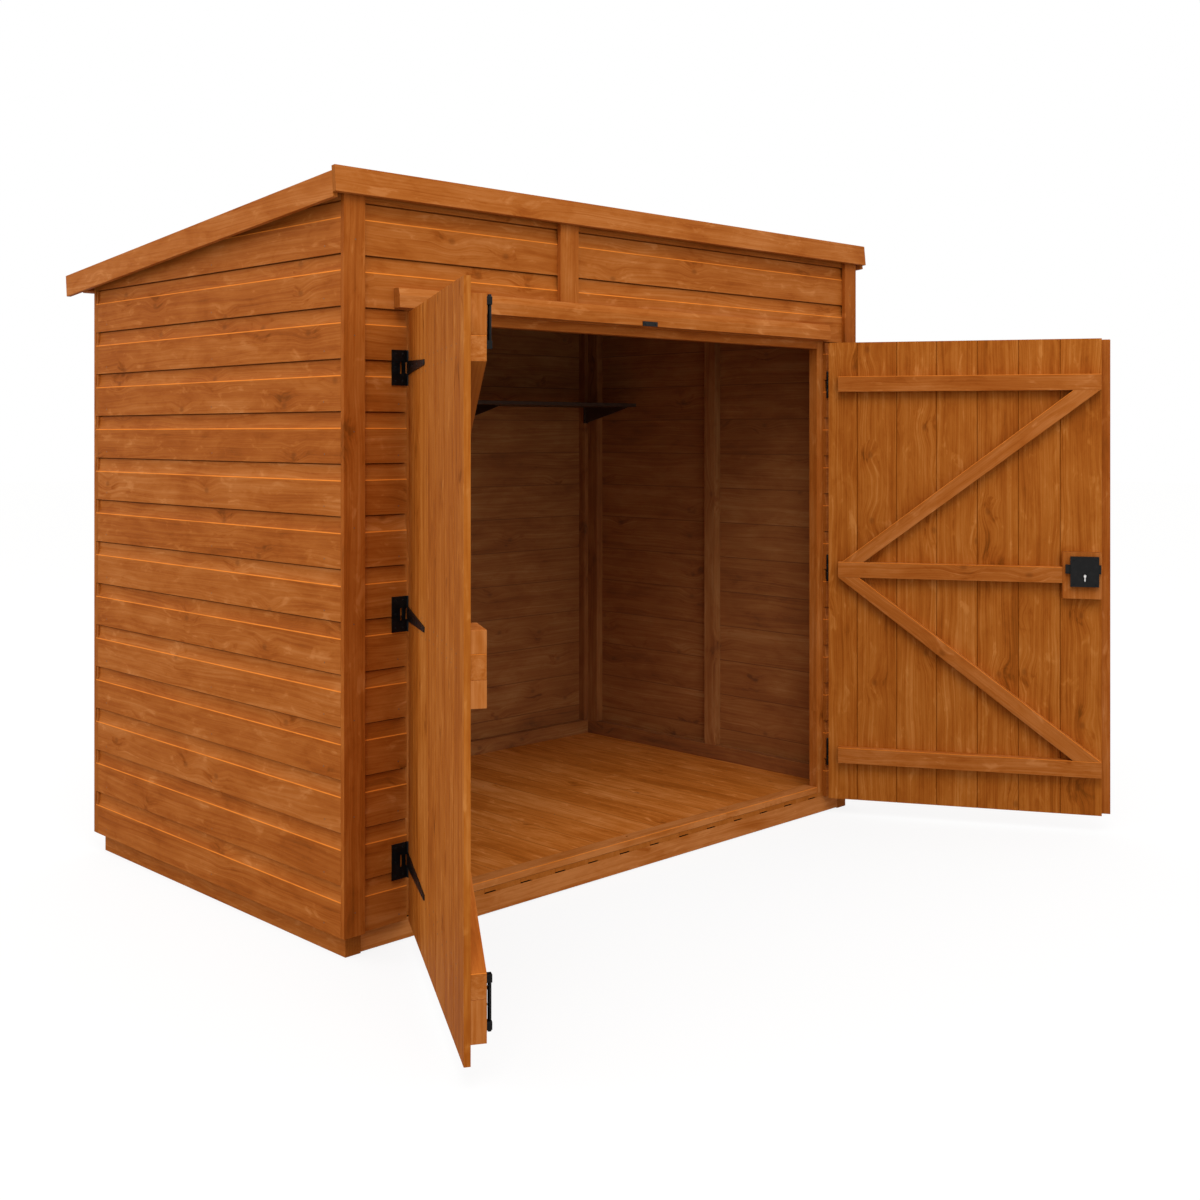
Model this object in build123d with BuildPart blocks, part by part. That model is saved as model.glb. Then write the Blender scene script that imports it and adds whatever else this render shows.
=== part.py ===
"""Timber pent-roof bike shed with two ledged and braced doors, in millimetres.

X runs along the front, Y from the front to the back, Z up. The origin is on the underside of the
middle floor bearer, midway between the outer faces of the walls. The doors stand open, as in use.
"""

import math
import os

from build123d import *

# Overall size, over the outer faces of the cladding. The width follows from the front's parts
shed_depth = 1147.0
left_panel_width = 173.5
right_panel_width = 131.5
header_height = 266.8
roof_pitch = 5.5

# Cladding boards
cladding_thickness = 12.0
board_cover = 112.0
board_flat = 75.0
scoop_depth = 5.0
scoop_rise = 22.0
joint_gap = 2.5
joint_depth = 8.0
cladding_bottom = 49.0

# Framing timber
frame_deep = 28.0
frame_wide = 45.0
post_reach = 30.0
lintel_lap = 17.5
side_stud_middle = 537.0
clearance = 5.0

# Floor
floor_bottom = 50.0
floor_board = 12.0
bearer_width = 40.0
joist_lift = 3.0
joist_width = 28.0
floor_side_inset = 20.0
floor_groove_width = 35.0
floor_groove_depth = 3.0
first_floor_groove = 68.5
threshold_height = 18.0
threshold_depth = 45.0

# Trims
trim_thickness = 12.0
corner_trim_width = 55.0
cover_strip_width = 60.0
cover_strip_left = 627.0
drip_bar_lift = 2.5
drip_bar_height = 44.0
drip_bar_depth = 22.0
drip_bar_nose = 27.0
drip_bar_step = 5.0
drip_bar_inset = 139.0

# Roof
deck_thickness = 12.0
felt_thickness = 2.0
roof_side_overhang = 18.0
roof_back_overhang = 119.0
fascia_height = 57.0
fascia_thickness = 12.0
fascia_rise = 10.0
rear_rail_gap = 5.0

# Doorway and doors
door_width = 761.0
door_bottom = 49.0
door_height = 1339.5
meeting_gap = 5.0
edge_gap = 5.0
head_gap = 5.0
door_open_angle = 120.0
door_board_thickness = 12.0
door_board_cover = 113.4
door_first_joint = 83.0
door_groove = 4.0
door_proud = 5.0
ledge_height = 45.0
ledge_thickness = 28.0
ledge_from_foot = 133.5
middle_ledge_from_foot = 675.5
ledge_from_head = 123.0
ledge_start = 30.0
ledge_end_gap = 2.0
upper_brace_foot = (42.0, 103.0)
upper_brace_head = (76.5, 4.5)
lower_brace_foot = (30.0, 91.0)
lower_brace_head = (77.5, 2.5)

# Blocks on the doors. Gaps are from the free edge, heights from the ledge that a block is on
block_end_gap = 1.5
lock_block_width = 105.0
lock_block_down = 65.5
lock_block_up = 65.0
keep_block_width = 104.0
keep_block_down = 70.5
keep_block_up = 62.5
top_block_rise = 71.0
bottom_block_drop = 75.0
meeting_strip_width = 45.5
meeting_strip_lap = 24.0
meeting_strip_foot = 3.0
meeting_strip_head = 2.5

# Lock and head plate
lock_case_size = (76.0, 15.0, 84.0)
lock_case_gap = 9.5
lock_case_lift = 11.5
lock_tab_size = (95.0, 9.0, 25.0)
lock_tab_gap = 3.5
lock_tab_lift = 18.0
keyhole_gap = 47.0
keyhole_drop = 2.5
keyhole_radius = 3.0
keyhole_slot = (3.0, 12.0)
head_plate_size = (54.0, 2.5, 12.0)
head_plate_left = 903.0

# Hinges
leaf_thickness = 3.0
hinge_setback = 4.3
knuckle_radius = 3.8
pin_radius = 2.0
pin_clearance = 0.1
plate_width = 41.0
plate_height = 78.0
plate_slot_height = 27.0
plate_slot_width = 6.0
plate_slot_inset = 17.0
plate_notch = 5.0
strap_length = 272.0
strap_root_height = 31.0
strap_tip_height = 11.0
strap_neck_height = 22.0
knuckle_gap = 1.0

# Bolts
bolt_gap = 30.5
bolt_radius = 3.5
bolt_clearance = 0.1
bolt_offset = 9.5
bolt_plate_width = 32.0
bolt_plate_thickness = 2.5
bolt_guide_width = 14.0
bolt_guide_height = 14.0
bolt_guide_front = 4.0
upper_bolt_length = 90.0
upper_bolt_inset = 3.0
lower_bolt_length = 95.0
lower_bolt_inset = 13.0
bolt_past_body = 4.0
bolt_travel = 22.0
bolt_knob_radius = 3.0
bolt_knob_length = 15.0
bolt_hole_radius = 5.5
keep_wall = 2.5
keep_opening = 5.5
keep_lift = 4.0
keep_height = 12.0

# Shelf
shelf_bottom = 1213.0
shelf_front = 869.0
shelf_thickness = 12.0
bracket_reach = 195.0
bracket_drop = 55.0
bracket_thickness = 3.0
bracket_flange = 22.0
bracket_from_left = 65.0
bracket_from_right = 52.0

# Places worked out from the sizes above
door_left_edge = left_panel_width + edge_gap
shed_width = door_left_edge + 2 * door_width + meeting_gap + edge_gap + right_panel_width
door_top = door_bottom + door_height
head_height = door_top + head_gap
drip_bar_bottom = head_height + drip_bar_lift
roof_front_height = head_height + header_height
lintel_bottom = door_top - lintel_lap
half_width = shed_width / 2
half_depth = shed_depth / 2
front_face = -half_depth
back_face = half_depth
pitch = math.radians(roof_pitch)
slope = math.tan(pitch)
floor_top = floor_bottom + floor_board
frame_front = front_face + cladding_thickness
frame_back = back_face - cladding_thickness
frame_left = -half_width + cladding_thickness
frame_right = half_width - cladding_thickness
side_front = frame_front + frame_deep
side_back = frame_back - frame_deep
left_edge = -half_width + door_left_edge
right_edge = left_edge + 2 * door_width + meeting_gap
left_opening = left_edge - edge_gap
right_opening = right_edge + edge_gap
lintel_top = lintel_bottom + frame_wide
door_face = front_face - door_proud
door_inside = door_board_thickness + ledge_thickness
left_axis = (left_edge - hinge_setback, door_face, 0)
right_axis = (right_edge + hinge_setback, door_face, 0)
block_end = door_width - block_end_gap
ledge_end = door_width - ledge_end_gap
half_ledge = ledge_height / 2
bottom_ledge = door_bottom + ledge_from_foot
middle_ledge = door_bottom + middle_ledge_from_foot
top_ledge = door_top - ledge_from_head
ledge_middles = (bottom_ledge, middle_ledge, top_ledge)
bottom_block = bottom_ledge - half_ledge - bottom_block_drop
top_block = top_ledge + half_ledge + top_block_rise
upper_bolt_top = top_block - upper_bolt_inset
lower_bolt_foot = bottom_block + lower_bolt_inset
upper_bolt_body = (upper_bolt_top - upper_bolt_length, upper_bolt_top)
lower_bolt_body = (lower_bolt_foot, lower_bolt_foot + lower_bolt_length)
bolt_across = door_width - bolt_gap
bolt_x = left_edge + bolt_across
bolt_y = door_face + door_inside + bolt_offset
side_left = (frame_left, frame_left + frame_deep)
side_right = (frame_right - frame_deep, frame_right)
front_frame = (frame_front, side_front)
back_frame = (side_back, frame_back)

os.makedirs("parts", exist_ok=True)


def roof_underside(y):
    """Height of the underside of the roof boards at y."""
    return roof_front_height - slope * (y - front_face)


def roof_frame(y, drop=0.0):
    """Plane along the underside of the roof boards, its origin at y, lowered by drop."""
    return Plane(
        origin=(0, y, roof_underside(y) - drop),
        x_dir=(1, 0, 0),
        z_dir=(0, math.sin(pitch), math.cos(pitch)),
    )


def timber(x, y, z, mode=Mode.ADD):
    """Add one rectangular timber that fills the given low and high values."""
    with Locations((sum(x) / 2, sum(y) / 2, sum(z) / 2)):
        Box(abs(x[1] - x[0]), abs(y[1] - y[0]), abs(z[1] - z[0]), mode=mode)


def finish(part, name):
    """Label a finished piece and write its file."""
    part.part.label = name
    export_step(part.part, f"parts/{name}.step")


def shiplap_panel(origin, inward, length):
    """Add lapped boards, each with a flat face and a hollow along its upper edge.

    The panel starts at origin, and its boards run to the left of the inward direction.
    """
    boards = math.ceil((roof_front_height - cladding_bottom) / board_cover)
    plane = Plane(origin=origin, x_dir=inward, z_dir=Vector(*inward).cross(Vector(0, 0, 1)))
    with BuildSketch(plane) as section:
        with Locations((cladding_thickness / 2, boards * board_cover / 2)):
            Rectangle(cladding_thickness, boards * board_cover)
        for board in range(boards):
            lip = board * board_cover + board_flat
            head = (board + 1) * board_cover
            with BuildLine():
                ThreePointArc(
                    (0, lip),
                    (scoop_depth * 0.7, lip + scoop_rise * 0.4),
                    (scoop_depth, lip + scoop_rise),
                )
                Polyline(
                    (scoop_depth, lip + scoop_rise),
                    (scoop_depth, head - joint_gap),
                    (joint_depth, head - joint_gap),
                    (joint_depth, head),
                    (0, head),
                    (0, lip),
                )
            make_face(mode=Mode.SUBTRACT)
    extrude(section.sketch, amount=length)


def cut_to_roof(drop=0.0):
    """Keep what stands under the roof boards."""
    split(bisect_by=roof_frame(front_face, drop), keep=Keep.BOTTOM)


def sloping_timber(x, y, height):
    """Add a timber of the given height whose top lies against the roof boards."""
    along = (y[1] - y[0]) / math.cos(pitch)
    with Locations(roof_frame(y[0])):
        with Locations(((x[0] + x[1]) / 2, along / 2, -height / 2)):
            Box(x[1] - x[0], along, height)


# Floor
floor_left = -half_width + floor_side_inset
floor_right = half_width - floor_side_inset
inner_left = floor_left + bearer_width
inner_right = floor_right - bearer_width
middle_left = -bearer_width / 2
middle_right = bearer_width / 2

with BuildPart() as floor_bearers:
    timber((floor_left, inner_left), (frame_front, frame_back), (0, floor_bottom))
    timber((inner_right, floor_right), (frame_front, frame_back), (0, floor_bottom))
    timber((middle_left, middle_right),
           (frame_front + joist_width, frame_back - joist_width), (0, floor_bottom))
finish(floor_bearers, "floor_bearers")

with BuildPart() as floor_joists:
    for place in (frame_front, frame_back - joist_width):
        timber((inner_left, inner_right), (place, place + joist_width),
               (joist_lift, floor_bottom))
    for place in (-half_depth / 3, half_depth / 3):
        joist_y = (place - joist_width / 2, place + joist_width / 2)
        timber((inner_left, middle_left), joist_y, (joist_lift, floor_bottom))
        timber((middle_right, inner_right), joist_y, (joist_lift, floor_bottom))
finish(floor_joists, "floor_joists")

with BuildPart() as floor_boards:
    timber((floor_left, floor_right), (frame_front, frame_back), (floor_bottom, floor_top))
    groove_x = floor_left + first_floor_groove
    while groove_x < floor_right:
        with Locations((groove_x, 0, floor_bottom + floor_groove_depth / 2)):
            Box(floor_groove_width, shed_depth, floor_groove_depth, mode=Mode.SUBTRACT)
        groove_x += board_cover
finish(floor_boards, "floor_boards")

threshold_top = floor_top + threshold_height
between_posts = (left_opening + post_reach, right_opening - post_reach)

with BuildPart() as threshold_board:
    timber(between_posts, (frame_front, frame_front + threshold_depth),
           (floor_top, threshold_top))
    with Locations((bolt_x, bolt_y, floor_top)):
        Cylinder(bolt_hole_radius, 4 * threshold_height, mode=Mode.SUBTRACT)
finish(threshold_board, "threshold_board")

# Cladding
with BuildPart() as left_cladding:
    shiplap_panel((-half_width, frame_back, cladding_bottom), (1, 0, 0),
                  frame_back - front_face)
    cut_to_roof()
finish(left_cladding, "left_cladding")

with BuildPart() as right_cladding:
    shiplap_panel((half_width, front_face, cladding_bottom), (-1, 0, 0),
                  frame_back - front_face)
    cut_to_roof()
finish(right_cladding, "right_cladding")

with BuildPart() as back_cladding:
    shiplap_panel((half_width, back_face, cladding_bottom), (0, -1, 0), shed_width)
    cut_to_roof()
finish(back_cladding, "back_cladding")

with BuildPart() as front_left_cladding:
    shiplap_panel((frame_left, front_face, cladding_bottom), (0, 1, 0),
                  left_opening - frame_left)
    split(bisect_by=Plane.XY.offset(head_height), keep=Keep.BOTTOM)
finish(front_left_cladding, "front_left_cladding")

with BuildPart() as front_right_cladding:
    shiplap_panel((right_opening, front_face, cladding_bottom), (0, 1, 0),
                  frame_right - right_opening)
    split(bisect_by=Plane.XY.offset(head_height), keep=Keep.BOTTOM)
finish(front_right_cladding, "front_right_cladding")

with BuildPart() as header_cladding:
    shiplap_panel((frame_left, front_face, cladding_bottom), (0, 1, 0),
                  frame_right - frame_left)
    split(bisect_by=Plane.XY.offset(head_height), keep=Keep.TOP)
    cut_to_roof()
finish(header_cladding, "header_cladding")

# Framing
rail_top = floor_top + frame_wide

with BuildPart() as side_wall_rails:
    for side in (side_left, side_right):
        timber(side, (side_front, side_back), (floor_top, rail_top))
        sloping_timber(side, (side_front + clearance, side_back - clearance), frame_wide)
finish(side_wall_rails, "side_wall_rails")

with BuildPart() as side_wall_studs:
    stud_middle = front_face + side_stud_middle
    for side in (side_left, side_right):
        for place in (side_front, stud_middle - frame_wide / 2, side_back - frame_wide):
            timber(side, (place, place + frame_wide), (rail_top, roof_front_height))
    cut_to_roof(frame_wide / math.cos(pitch))
finish(side_wall_studs, "side_wall_studs")

back_rail_top = roof_underside(frame_back)
back_rail_bottom = back_rail_top - frame_wide
back_stud_spacing = (frame_right - frame_left - frame_wide) / 3

with BuildPart() as back_wall_rails:
    timber((frame_left, frame_right), back_frame, (floor_top, rail_top))
    timber((frame_left, frame_right), back_frame, (back_rail_bottom, back_rail_top))
finish(back_wall_rails, "back_wall_rails")

with BuildPart() as back_wall_studs:
    for stud in range(4):
        place = frame_left + stud * back_stud_spacing
        timber((place, place + frame_wide), back_frame, (rail_top, back_rail_bottom))
finish(back_wall_studs, "back_wall_studs")

front_rail_top = roof_underside(side_front)
front_rail_bottom = front_rail_top - frame_wide

with BuildPart() as front_posts:
    for place in (between_posts[0] - frame_wide, between_posts[1],
                  frame_left, frame_right - frame_wide):
        timber((place, place + frame_wide), front_frame, (floor_top, front_rail_bottom))
finish(front_posts, "front_posts")

with BuildPart() as door_lintel:
    timber(between_posts, front_frame, (lintel_bottom, lintel_top))
finish(door_lintel, "door_lintel")

with BuildPart() as front_top_rail:
    timber((frame_left, frame_right), front_frame, (front_rail_bottom, front_rail_top))
finish(front_top_rail, "front_top_rail")

# Trims
front_trim = (front_face - trim_thickness, front_face)
corner_places = (-half_width, half_width - corner_trim_width)

with BuildPart() as corner_trims:
    for place in corner_places:
        timber((place, place + corner_trim_width), (back_face, back_face + trim_thickness),
               (cladding_bottom, roof_front_height))
    cut_to_roof()
    for place in corner_places:
        timber((place, place + corner_trim_width), front_trim,
               (cladding_bottom, roof_front_height))
finish(corner_trims, "corner_trims")

drip_bar_top = drip_bar_bottom + drip_bar_height

with BuildPart() as header_cover_strip:
    strip_left = -half_width + cover_strip_left
    timber((strip_left, strip_left + cover_strip_width), front_trim,
           (drip_bar_top, roof_front_height))
finish(header_cover_strip, "header_cover_strip")

with BuildPart() as drip_bar:
    with BuildSketch(Plane.YZ.offset(-half_width + drip_bar_inset)):
        with BuildLine():
            Polyline(
                (front_face, drip_bar_bottom),
                (front_face, drip_bar_top),
                (front_face - drip_bar_depth + drip_bar_step, drip_bar_top),
                (front_face - drip_bar_depth, drip_bar_bottom + drip_bar_nose),
                (front_face - drip_bar_depth, drip_bar_bottom),
                close=True,
            )
        make_face()
    extrude(amount=shed_width - 2 * drip_bar_inset)
finish(drip_bar, "drip_bar")

# Roof, drawn on the underside of its boards from the front trims back
roof_front = front_face - trim_thickness
roof_length = (shed_depth + trim_thickness + roof_back_overhang) / math.cos(pitch)
roof_half = half_width + roof_side_overhang
roof_top = deck_thickness + felt_thickness


with BuildPart(roof_frame(roof_front)) as roof_deck:
    timber((-roof_half, roof_half), (0, roof_length), (0, deck_thickness))
finish(roof_deck, "roof_deck")

with BuildPart(roof_frame(roof_front)) as roof_felt:
    timber((-roof_half, roof_half), (0, roof_length), (deck_thickness, roof_top))
finish(roof_felt, "roof_felt")

with BuildPart(roof_frame(roof_front)) as front_fascia:
    timber((-roof_half - fascia_thickness, roof_half + fascia_thickness), (-fascia_thickness, 0),
           (roof_top + fascia_rise - fascia_height, roof_top + fascia_rise))
finish(front_fascia, "front_fascia")

with BuildPart(roof_frame(roof_front)) as barge_boards:
    for place in (-roof_half - fascia_thickness, roof_half):
        timber((place, place + fascia_thickness), (0, roof_length),
               (roof_top - fascia_height, roof_top))
finish(barge_boards, "barge_boards")

with BuildPart() as roof_rails:
    inside_x = (side_left[1] + clearance, side_right[0] - clearance)
    for part in (1, 2):
        middle = side_front + part * (side_back - side_front) / 3
        sloping_timber(inside_x, (middle - frame_deep / 2, middle + frame_deep / 2), frame_wide)
    rail_start = back_face + trim_thickness + rear_rail_gap
    sloping_timber((-roof_half, roof_half), (rail_start, rail_start + frame_deep), frame_wide)
finish(roof_rails, "roof_rails")

# Shelf along the back wall
shelf_edge = front_face + shelf_front
shelf_top = shelf_bottom + shelf_thickness

with BuildPart() as shelf_board:
    timber((side_left[1], side_right[0]), (shelf_edge, side_back), (shelf_bottom, shelf_top))
    for place in (side_left[1], side_right[0]):
        with Locations((place, side_back, shelf_bottom)):
            Box(2 * clearance, 2 * (frame_wide + clearance), 4 * shelf_thickness,
                mode=Mode.SUBTRACT)
finish(shelf_board, "shelf_board")

with BuildPart() as shelf_brackets:
    bracket_bottom = shelf_bottom - bracket_drop
    bracket_spacing = (shed_width - bracket_from_left - bracket_from_right) / 3
    for number in range(4):
        middle = -half_width + bracket_from_left + number * bracket_spacing
        flange_x = (middle - bracket_flange / 2, middle + bracket_flange / 2)
        timber(flange_x, (side_back - bracket_reach, side_back),
               (shelf_bottom - bracket_thickness, shelf_bottom))
        timber(flange_x, (side_back - bracket_thickness, side_back),
               (bracket_bottom, shelf_bottom))
        with BuildSketch(Plane.YZ.offset(middle - bracket_thickness / 2)):
            with BuildLine():
                Polyline(
                    (side_back, shelf_bottom),
                    (side_back - bracket_reach, shelf_bottom),
                    (side_back - bracket_reach, shelf_bottom - 2 * bracket_thickness),
                    (side_back, bracket_bottom),
                    close=True,
                )
            make_face()
        extrude(amount=bracket_thickness)
finish(shelf_brackets, "shelf_brackets")

# Doors. Each is drawn from its hinge axis: across runs along the door from its hinged edge, and
# depth from its outer face inwards. Side is 1 for the left door and -1 for the right
def door_frame(axis, side):
    """Plane of a door at its axis, turned open."""
    angle = math.radians(-side * door_open_angle)
    return Plane(origin=axis, x_dir=(math.cos(angle), math.sin(angle), 0), z_dir=(0, 0, 1))


left_door = door_frame(left_axis, 1)
right_door = door_frame(right_axis, -1)


def local_x(side, across):
    """X of a place on a door, in the door's own plane."""
    return side * (across + hinge_setback)


def door_piece(side, across, depth, height, mode=Mode.ADD):
    """Add a rectangular piece of a door, given as low and high values."""
    timber((local_x(side, across[0]), local_x(side, across[1])), depth, height, mode)


def door_boards(side):
    """Add the upright boards of a door as one leaf with a V groove at each joint."""
    door_piece(side, (0, door_width), (0, door_board_thickness), (door_bottom, door_top))
    joint = door_first_joint
    while joint < door_width - door_groove:
        for depth in (0, door_board_thickness):
            turned = Location((local_x(side, joint), depth, (door_bottom + door_top) / 2),
                              (0, 0, 45))
            with Locations(turned):
                Box(door_groove / math.sqrt(2), door_groove / math.sqrt(2), 2 * door_height,
                    mode=Mode.SUBTRACT)
        joint += door_board_cover


def door_ledges(side, middle_end):
    """Add the three ledges across the back of a door."""
    for middle, end in zip(ledge_middles, (ledge_end, middle_end, ledge_end)):
        door_piece(side, (ledge_start, end), (door_board_thickness, door_inside),
                   (middle - ledge_height / 2, middle + ledge_height / 2))


def door_braces(side, plane):
    """Add the two braces that run from the middle ledge by the hinges to the outer ledges."""
    levels = (
        (upper_brace_foot, upper_brace_head, middle_ledge + half_ledge, top_ledge - half_ledge),
        (lower_brace_foot, lower_brace_head, middle_ledge - half_ledge,
         bottom_ledge + half_ledge),
    )
    face = Plane(
        origin=plane.from_local_coords(Vector(0, door_inside, 0)),
        x_dir=plane.x_dir,
        z_dir=-plane.y_dir,
    )
    for foot, gaps, near, far in levels:
        corners = ((foot[0], near), (foot[1], near),
                   (door_width - gaps[1], far), (door_width - gaps[0], far))
        with BuildSketch(face) as outline:
            with BuildLine():
                Polyline(*[(local_x(side, across), z) for across, z in corners], close=True)
            make_face()
        extrude(outline.sketch, amount=ledge_thickness)


with BuildPart(left_door) as left_door_boards:
    door_boards(1)
finish(left_door_boards, "left_door_boards")

with BuildPart(right_door) as right_door_boards:
    door_boards(-1)
finish(right_door_boards, "right_door_boards")

with BuildPart(left_door) as left_door_ledges:
    door_ledges(1, ledge_end)
finish(left_door_ledges, "left_door_ledges")

with BuildPart(right_door) as right_door_ledges:
    door_ledges(-1, block_end - lock_block_width)
finish(right_door_ledges, "right_door_ledges")

with BuildPart() as left_door_braces:
    door_braces(1, left_door)
finish(left_door_braces, "left_door_braces")

with BuildPart() as right_door_braces:
    door_braces(-1, right_door)
finish(right_door_braces, "right_door_braces")

block_depth = (door_board_thickness, door_inside)

with BuildPart(left_door) as left_door_blocks:
    block_across = (block_end - keep_block_width, block_end)
    door_piece(1, block_across, block_depth, (top_ledge + half_ledge, top_block))
    door_piece(1, block_across, block_depth,
               (middle_ledge + half_ledge, middle_ledge + keep_block_up))
    door_piece(1, block_across, block_depth,
               (middle_ledge - keep_block_down, middle_ledge - half_ledge))
    door_piece(1, block_across, block_depth, (bottom_block, bottom_ledge - half_ledge))
finish(left_door_blocks, "left_door_blocks")

with BuildPart(right_door) as lock_block:
    door_piece(-1, (block_end - lock_block_width, block_end), block_depth,
               (middle_ledge - lock_block_down, middle_ledge + lock_block_up))
finish(lock_block, "lock_block")


def lock_piece(size, gap, lift):
    """Add a plate of the lock, its gap from the free edge and its lift from the middle ledge."""
    width, depth, height = size
    end = door_width - gap
    middle = middle_ledge + lift
    door_piece(-1, (end - width, end), (door_inside, door_inside + depth),
               (middle - height / 2, middle + height / 2))


with BuildPart(right_door) as rim_lock:
    lock_piece(lock_case_size, lock_case_gap, lock_case_lift)
    lock_piece(lock_tab_size, lock_tab_gap, lock_tab_lift)
    case_depth = lock_case_size[1]
    slot_width, slot_height = keyhole_slot
    slot_x = local_x(-1, door_width - keyhole_gap)
    slot_y = door_inside + case_depth
    keyhole_middle = middle_ledge - keyhole_drop
    with Locations(Location((slot_x, slot_y, keyhole_middle), (90, 0, 0))):
        Cylinder(keyhole_radius, case_depth, mode=Mode.SUBTRACT)
    with Locations((slot_x, slot_y, keyhole_middle - slot_height / 2)):
        Box(slot_width, case_depth, slot_height, mode=Mode.SUBTRACT)
finish(rim_lock, "rim_lock")

with BuildPart(right_door) as meeting_strip:
    strip_end = door_width + meeting_strip_lap
    door_piece(-1, (strip_end - meeting_strip_width, strip_end), (-trim_thickness, 0),
               (door_bottom + meeting_strip_foot, door_top - meeting_strip_head))
    door_piece(-1, (door_width, strip_end + clearance), (-door_proud, door_proud),
               (door_bottom, door_top), mode=Mode.SUBTRACT)
finish(meeting_strip, "meeting_strip")

# Hinges. The wall plate carries the two outer knuckles and the pin, the strap the middle one
def knuckle_ring(axis_place, start, length, bore):
    """Add an upright knuckle, with or without a bore for the pin."""
    with BuildSketch(Plane(origin=axis_place).offset(start)) as ring:
        Circle(knuckle_radius)
        if bore > 0:
            Circle(bore, mode=Mode.SUBTRACT)
    extrude(ring.sketch, amount=length)


strap_neck = strap_neck_height / 2


def strap(side, plane, height):
    """Add one tapered strap with its knuckle."""
    face = Plane(
        origin=plane.from_local_coords(Vector(0, -leaf_thickness, 0)),
        x_dir=plane.x_dir,
        z_dir=-plane.y_dir,
    )
    root = strap_root_height / 2
    tip = strap_tip_height / 2
    shoulder = knuckle_radius + knuckle_gap
    half_outline = ((pin_radius + 2 * pin_clearance, strap_neck), (shoulder, strap_neck),
                    (shoulder, root), (strap_length, tip))
    upper = [(side * x, height + z) for x, z in half_outline]
    lower = [(side * x, height - z) for x, z in reversed(half_outline)]
    with BuildSketch(face) as outline:
        with BuildLine():
            Polyline(*upper, *lower, close=True)
        make_face()
    extrude(outline.sketch, amount=-leaf_thickness)
    knuckle_ring(plane.origin, height - strap_neck, 2 * strap_neck, pin_radius + pin_clearance)


def hinge_plate(side, axis, height):
    """Add one wall plate with its two knuckles and pin."""
    opening = left_opening if side == 1 else right_opening
    low = height - plate_height / 2
    high = height + plate_height / 2
    inner_low = height - strap_neck - knuckle_gap
    inner_high = height + strap_neck + knuckle_gap
    plate_depth = (front_face - leaf_thickness, front_face)
    timber(sorted((opening, opening - side * plate_width)), plate_depth, (low, high))
    timber(sorted((opening, opening - side * plate_notch)), plate_depth,
           (inner_low, inner_high), mode=Mode.SUBTRACT)
    slot_middle = opening - side * plate_slot_inset
    timber((slot_middle - plate_slot_width / 2, slot_middle + plate_slot_width / 2), plate_depth,
           (height - plate_slot_height / 2, height + plate_slot_height / 2), mode=Mode.SUBTRACT)
    knuckle_ring(axis, low, inner_low - low, 0)
    knuckle_ring(axis, inner_high, high - inner_high, 0)
    with BuildSketch(Plane(origin=axis).offset(low)) as pin:
        Circle(pin_radius)
    extrude(pin.sketch, amount=plate_height)


with BuildPart() as left_hinge_straps:
    for height in ledge_middles:
        strap(1, left_door, height)
finish(left_hinge_straps, "left_hinge_straps")

with BuildPart() as right_hinge_straps:
    for height in ledge_middles:
        strap(-1, right_door, height)
finish(right_hinge_straps, "right_hinge_straps")

with BuildPart() as hinge_plates:
    for height in ledge_middles:
        hinge_plate(1, left_axis, height)
        hinge_plate(-1, right_axis, height)
finish(hinge_plates, "hinge_plates")

# Bolts on the left door. Way is 1 for the bolt that shoots up and -1 for the one that shoots down
bolt_depth = door_inside + bolt_offset


def bolt_barrel(body):
    """Add a bolt plate with a guide at each end."""
    plate_x = (bolt_across - bolt_plate_width / 2, bolt_across + bolt_plate_width / 2)
    guide_x = (bolt_across - bolt_guide_width / 2, bolt_across + bolt_guide_width / 2)
    door_piece(1, plate_x, (door_inside, door_inside + bolt_plate_thickness), body)
    for low in (body[0], body[1] - bolt_guide_height):
        door_piece(1, guide_x, (door_inside, bolt_depth + bolt_guide_front),
                   (low, low + bolt_guide_height))
    with Locations((local_x(1, bolt_across), bolt_depth, sum(body) / 2)):
        Cylinder(bolt_radius + bolt_clearance, 2 * plate_height, mode=Mode.SUBTRACT)


def bolt_rod(way, body):
    """Add a bolt rod, drawn back, with its knob turned towards the hinges."""
    tip = body[1] + bolt_past_body if way == 1 else body[0] - bolt_past_body
    tail = body[0] + clearance if way == 1 else body[1] - clearance
    x = local_x(1, bolt_across)
    with Locations((x, bolt_depth, (tip + tail) / 2)):
        Cylinder(bolt_radius, abs(tip - tail))
    knob_height = tail + way * (bolt_guide_height + 2 * clearance)
    with Locations(Location((x - bolt_knob_length / 2, bolt_depth, knob_height), (0, 90, 0))):
        Cylinder(bolt_knob_radius, bolt_knob_length)


with BuildPart(left_door) as bolt_barrels:
    bolt_barrel(upper_bolt_body)
    bolt_barrel(lower_bolt_body)
finish(bolt_barrels, "bolt_barrels")

with BuildPart(left_door) as upper_bolt_rod:
    bolt_rod(1, upper_bolt_body)
finish(upper_bolt_rod, "upper_bolt_rod")

with BuildPart(left_door) as lower_bolt_rod:
    bolt_rod(-1, lower_bolt_body)
finish(lower_bolt_rod, "lower_bolt_rod")

with BuildPart() as upper_bolt_keep:
    outer = keep_opening + keep_wall
    back = bolt_y + keep_opening
    keep_rise = (lintel_bottom + keep_lift, lintel_bottom + keep_lift + keep_height)
    timber((bolt_x - outer, bolt_x + outer), (side_front, back + keep_wall), keep_rise)
    timber((bolt_x - keep_opening, bolt_x + keep_opening), (side_front, back), keep_rise,
           mode=Mode.SUBTRACT)
    timber((bolt_x - outer, bolt_x + outer), (back, back + keep_wall), keep_rise)
finish(upper_bolt_keep, "upper_bolt_keep")

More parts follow.
